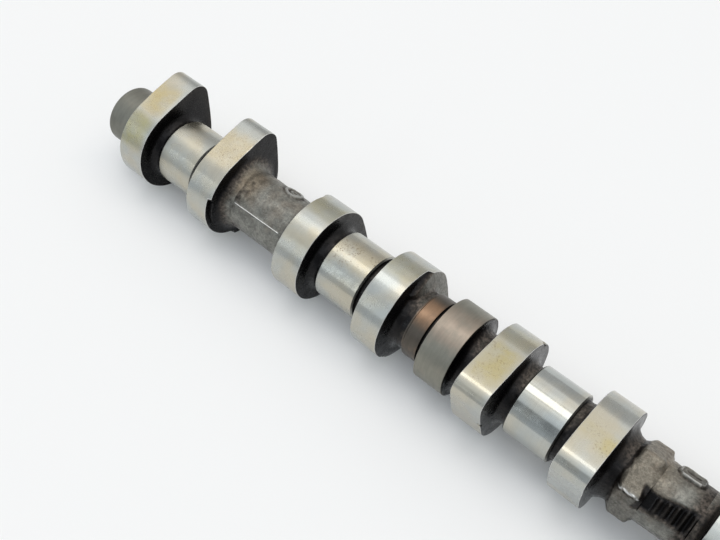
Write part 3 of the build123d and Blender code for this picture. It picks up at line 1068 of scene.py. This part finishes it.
def colour(name, text, default):
    """Setting for a colour."""
    return FloatVectorProperty(
        name=name, description=text, default=default, size=3, min=0.0, max=1.0, subtype="COLOR"
    )


def power(name, text, default):
    """Setting for a lamp's power in watts."""
    return FloatProperty(name=name, description=text, default=default, min=0.0, unit="POWER")


class CamshaftSizes(PropertyGroup):
    """Sizes of the lobes, journals and cast surface."""

    journal_radius: length("Journal radius", "Radius of the ground bearing journals", 0.0135)
    base_radius: length("Base circle radius", "Radius of a lobe away from its nose", 0.019)
    lift: length("Lift", "How far the nose stands above the base circle", 0.0078)
    nose_radius: length("Nose radius", "Radius of a lobe's tip", 0.0062)
    flank_radius: length("Flank radius", "Radius of the nearly flat flanks", 0.150)
    rim_wear: length("Rim wear", "Worn bevel where ground lobe meets cast face", 0.00022)
    skin_height: length("Skin height", "Unevenness of the cast surface", 0.00011)
    flash_height: length("Flash height", "Height of the line where the mould's halves met", 0.00038)
    mark_height: length("Mark height", "Height of the raised marks on the cast shaft", 0.0007)


class CamshaftColours(PropertyGroup):
    """Colours of the metal's finishes."""

    lobe: colour("Lobe", "Ground lobes", (0.475, 0.465, 0.415))
    journal: colour("Journal", "Ground journals", (0.475, 0.47, 0.425))
    stain: colour("Tan stain", "Oil stain on the flanks", (0.49, 0.405, 0.24))
    olive: colour("Olive stain", "Greener part of the oil stain", (0.45, 0.425, 0.23))
    cast_dark: colour("Cast, dark", "Hollows of the cast skin", (0.125, 0.125, 0.11))
    cast_light: colour("Cast, light", "High grains of the cast skin", (0.275, 0.27, 0.24))
    rust: colour("Brown patches", "Brown tone in the cast skin", (0.195, 0.168, 0.135))
    face: colour("Lobe face", "Nearly black side faces of the lobes", (0.006, 0.0055, 0.006))
    ring: colour("Ring", "Bronze brown of the narrow ring", (0.105, 0.092, 0.077))
    disc: colour("Disc", "Olive grey of the plain disc", (0.25, 0.243, 0.205))


class CamshaftStudio(PropertyGroup):
    """Floor, lamps and lens."""

    floor: colour("Floor", "Pale floor", (0.88, 0.88, 0.874))
    overhead: power("Overhead lamp", "Power of the large lamp above", 2.0)
    window: power("Window", "Power of the small cool lamp in front", 0.54)
    lens: FloatProperty(
        name="Lens",
        description="Focal length in millimetres",
        default=48.42,
        min=1.0,
        subtype="DISTANCE_CAMERA",
    )


# ---- studio: places in metres, and the sky's brightness by direction ----
FLOOR_REACH = 6.0
FLOOR_GAP = 0.0001
SHADOW_MIDDLE, SHADOW_HALF = -0.168, 0.18
OVERHEAD_PLACE, OVERHEAD_TOWARDS, OVERHEAD_SIZE = (-0.285, 0.10, 1.2), -0.285, (0.85, 0.42)
WINDOW_PLACE, WINDOW_TOWARDS, WINDOW_SIZE = (-0.71, -0.93, 0.62), -0.227, (0.13, 0.6)
WINDOW_ROLL = 42.0
WHITE, COOL = (1.0, 1.0, 1.0), (0.88, 0.95, 1.0)
CAMERA_PLACE = (-0.08904976, -0.13595823, 0.29851947)
CAMERA_RIGHT = (0.74777248, 0.66267925, -0.04114039)
CAMERA_DOWN = (0.53768178, -0.64074734, -0.5480339)
CAMERA_AHEAD = (-0.38953129, 0.38768423, -0.83544378)

# Each arc is a list of (direction, brightness): 0 is the back horizon, 0.5 straight up, 1 the front one.
SKY_STRENGTH = 0.97
BACK_ARC = ((0, 0.62), (0.1, 0.64), (0.15, 0.68), (0.2, 0.8))
FRONT_ARC = ((0.725, 0.85), (0.745, 0.3), (0.85, 0.28), (0.93, 0.48), (1, 0.6))
FAR_ARC = (
    (0.3, 0.95), (0.36, 1.12), (0.45, 1.08), (0.53, 1.0), (0.6, 0.93),
    (0.7, 0.86), (0.8, 0.85), (0.9, 0.72), (1, 0.6),
)
MIDDLE_ARC = (
    (0.3, 1.0), (0.34, 1.5), (0.45, 1.5), (0.54, 1.42), (0.59, 0.82),
    (0.66, 0.76), (0.8, 0.78), (0.92, 0.78), (1, 0.62),
)
NEAR_ARC = ((0.3, 0.95), (0.35, 1.35), (0.45, 1.5), (0.55, 1.45), (0.6, 0.95), (0.66, 0.9)) + FRONT_ARC
RIGHT_ARC = (
    (0.235, 1.45), (0.3, 1.4), (0.35, 1.45), (0.385, 1.7), (0.43, 0.45),
    (0.52, 0.45), (0.56, 1.75), (0.61, 1.2), (0.66, 1.15),
) + FRONT_ARC

# Where each arc takes over from the one before, in the X of the direction.
SKY_CHANGES = ((MIDDLE_ARC, -0.52, -0.45), (NEAR_ARC, -0.34, -0.25), (RIGHT_ARC, -0.21, -0.17))


# ---- operators ----
class CAMSHAFT_OT_build_casting(Operator):
    """Builds the camshaft as one closed skin and gives each region its finish"""

    bl_idname = "camshaft.build_casting"
    bl_label = "Build Casting"

    def execute(self, context):
        sizes = context.scene.camshaft_sizes
        tones = context.scene.camshaft_colours
        stains = (tones.stain, tones.olive)
        mesh = build_skin(sizes)
        finishes = {
            "ground_lobe": ground_finish("ground_lobe", tones.lobe, *stains, 0.26, 0.000007),
            "ground_journal": ground_finish("ground_journal", tones.journal, *stains, 0.19, 0.000005),
            "cast_skin": cast_finish("cast_skin", tones.cast_dark, tones.cast_light, tones.rust, tones.face),
            "ring_metal": turned_finish("ring_metal", tones.ring, RING_TINT, 0.36),
            "disc_metal": turned_finish("disc_metal", tones.disc, DISC_TINT, 0.40),
            "spigot_metal": turned_finish("spigot_metal", SPIGOT_GREY, SPIGOT_TINT, 0.48),
            "turned_end": turned_finish("turned_end", tones.journal, tones.disc, 0.34),
        }
        for name in FINISHES:
            mesh.materials.append(finishes[name])
        piece = bpy.data.objects.new("camshaft_casting", mesh)
        context.scene.collection.objects.link(piece)
        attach(piece, "root")
        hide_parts("camshaft")
        return {"FINISHED"}


class CAMSHAFT_OT_build_studio(Operator):
    """Adds the floor, the soft light and the camera"""

    bl_idname = "camshaft.build_studio"
    bl_label = "Build Studio"

    def execute(self, context):
        studio = context.scene.camshaft_studio
        scene = context.scene
        scene.view_settings.view_transform = "Standard"
        self.add_floor(scene, studio)
        self.add_lamps(scene, studio)
        self.add_sky(scene)
        self.add_camera(scene, studio)
        return {"FINISHED"}

    def add_floor(self, scene, studio):
        """Pale floor that keeps the casting's shadow and glows evenly beyond it."""
        height = cad_low.z - FLOOR_GAP
        mesh = bpy.data.meshes.new("floor")
        signs = ((-1, -1), (1, -1), (1, 1), (-1, 1))
        corners = [(x * FLOOR_REACH, y * FLOOR_REACH, height) for x, y in signs]
        mesh.from_pydata(corners, [], [(0, 1, 2, 3)])
        floor = bpy.data.objects.new("floor", mesh)
        scene.collection.objects.link(floor)
        material, tree, shader = new_finish("floor", 0.0, 0.6)
        shader.inputs["Base Color"].default_value = rgba(studio.floor)
        shader.inputs["Specular IOR Level"].default_value = 0.02
        rays = node(tree, "ShaderNodeLightPath")
        place = node(tree, "ShaderNodeTexCoord").outputs["Object"]
        split = node(tree, "ShaderNodeSeparateXYZ", {"Vector": place})
        beyond = maths(tree, "ABSOLUTE", maths(tree, "ADD", split.outputs["X"], -SHADOW_MIDDLE))
        aside = maths(tree, "ABSOLUTE", split.outputs["Y"])
        aside = maths(tree, "MAXIMUM", aside, maths(tree, "SUBTRACT", beyond, SHADOW_HALF))
        seen = ranged(tree, aside, 0.01, 0.035, 0.0, 0.55)
        seen = maths(tree, "MULTIPLY", rays.outputs["Is Camera Ray"], seen)
        mirrored = maths(tree, "MAXIMUM", rays.outputs["Is Glossy Ray"], rays.outputs["Is Transmission Ray"])
        mirrored = maths(tree, "MULTIPLY", mirrored, ranged(tree, aside, 0.012, 0.055, 0.0, 0.38))
        glowing = maths(tree, "MAXIMUM", seen, mirrored)
        glow = node(tree, "ShaderNodeEmission", {"Color": rgba(FLOOR_GLOW), "Strength": 1.0})
        mix = node(tree, "ShaderNodeMixShader", {0: glowing, 1: shader.outputs[0], 2: glow.outputs[0]})
        output = next(n for n in tree.nodes if n.type == "OUTPUT_MATERIAL")
        tree.links.new(mix.outputs[0], output.inputs["Surface"])
        mesh.materials.append(material)

    def add_lamps(self, scene, studio):
        """Large lamp above and a small cool one in front."""
        overhead = self.add_lamp(scene, "overhead", OVERHEAD_PLACE, OVERHEAD_TOWARDS, OVERHEAD_SIZE)
        overhead.energy = studio.overhead
        overhead.color = WHITE
        window = self.add_lamp(scene, "window", WINDOW_PLACE, WINDOW_TOWARDS, WINDOW_SIZE, WINDOW_ROLL)
        window.energy = studio.window
        window.color = COOL

    def add_lamp(self, scene, name, place, towards, size, roll=0.0):
        """Rectangular lamp that faces one place on the axis, rolled by some degrees."""
        lamp = bpy.data.lights.new(name, "AREA")
        lamp.shape = "RECTANGLE"
        lamp.size, lamp.size_y = size
        holder = bpy.data.objects.new(name, lamp)
        holder.location = Vector(place)
        facing = (Vector((towards, 0, 0)) - Vector(place)).to_track_quat("-Z", "Y")
        holder.rotation_euler = (facing @ Quaternion((0, 0, 1), math.radians(roll))).to_euler()
        scene.collection.objects.link(holder)
        return lamp

    def add_sky(self, scene):
        """Soft room light that changes from the back, over the top, to the front."""
        world = bpy.data.worlds.new("studio")
        scene.world = world
        world.use_nodes = True
        tree = world.node_tree
        tree.nodes.clear()
        way = node(tree, "ShaderNodeTexCoord").outputs["Generated"]
        split = node(tree, "ShaderNodeSeparateXYZ", {"Vector": way})
        turn = maths(tree, "ARCTAN2", split.outputs["Z"], split.outputs["Y"])
        turn = maths(tree, "DIVIDE", turn, math.pi)
        tone = self.add_arc(tree, turn, BACK_ARC + FAR_ARC)
        for arc, low, high in SKY_CHANGES:
            share = ranged(tree, split.outputs["X"], low, high)
            tone = mixed(tree, share, tone, self.add_arc(tree, turn, BACK_ARC + arc))
        light = node(tree, "ShaderNodeBackground", {"Color": tone, "Strength": SKY_STRENGTH})
        output = node(tree, "ShaderNodeOutputWorld")
        tree.links.new(light.outputs[0], output.inputs["Surface"])

    def add_arc(self, tree, turn, stops):
        """Brightness by direction, from the back horizon over the top to the front one."""
        ramp = node(tree, "ShaderNodeValToRGB", {"Fac": turn})
        points = ramp.color_ramp.elements
        while len(points) < len(stops):
            points.new(0.5)
        for point, (place, level) in zip(points, stops):
            point.position = place
            blue = 1.0 + 0.14 * eased(place, 0.4, 0.75)
            point.color = (level, level * (1 + blue) / 2, level * blue, 1.0)
        return ramp.outputs["Color"]

    def add_camera(self, scene, studio):
        """Camera above the front end that looks back along the casting."""
        data = bpy.data.cameras.new("camera")
        data.lens = studio.lens
        data.sensor_width = 36.0
        data.sensor_fit = "HORIZONTAL"
        data.clip_start = 0.01
        axes = (Vector(CAMERA_RIGHT), -Vector(CAMERA_DOWN), -Vector(CAMERA_AHEAD))
        holder = bpy.data.objects.new("camera", data)
        holder.matrix_world = Matrix.Translation(CAMERA_PLACE) @ Matrix(axes).transposed().to_4x4()
        scene.collection.objects.link(holder)
        scene.camera = holder


class CAMSHAFT_PT_sidebar(Panel):
    """Lists the camshaft's settings and the buttons that build it"""

    bl_idname = "CAMSHAFT_PT_sidebar"
    bl_label = "Camshaft"
    bl_space_type = "VIEW_3D"
    bl_region_type = "UI"
    bl_category = "Camshaft"

    def draw(self, context):
        layout = self.layout
        for group in ("camshaft_sizes", "camshaft_colours", "camshaft_studio"):
            settings = getattr(context.scene, group)
            box = layout.box()
            for key in settings.__annotations__:
                box.prop(settings, key)
        layout.operator(CAMSHAFT_OT_build_casting.bl_idname)
        layout.operator(CAMSHAFT_OT_build_studio.bl_idname)


CLASSES = (
    CamshaftSizes,
    CamshaftColours,
    CamshaftStudio,
    CAMSHAFT_OT_build_casting,
    CAMSHAFT_OT_build_studio,
    CAMSHAFT_PT_sidebar,
)


def register():
    """Registers the classes and gives the scene its settings."""
    for cls in CLASSES:
        bpy.utils.register_class(cls)
    bpy.types.Scene.camshaft_sizes = PointerProperty(type=CamshaftSizes)
    bpy.types.Scene.camshaft_colours = PointerProperty(type=CamshaftColours)
    bpy.types.Scene.camshaft_studio = PointerProperty(type=CamshaftStudio)


def unregister():
    """Takes back all that register does."""
    del bpy.types.Scene.camshaft_studio
    del bpy.types.Scene.camshaft_colours
    del bpy.types.Scene.camshaft_sizes
    for cls in reversed(CLASSES):
        bpy.utils.unregister_class(cls)


def main():
    """Builds the studio and the casting."""
    register()
    bpy.ops.camshaft.build_studio()
    bpy.ops.camshaft.build_casting()


if __name__ == "__main__":
    main()
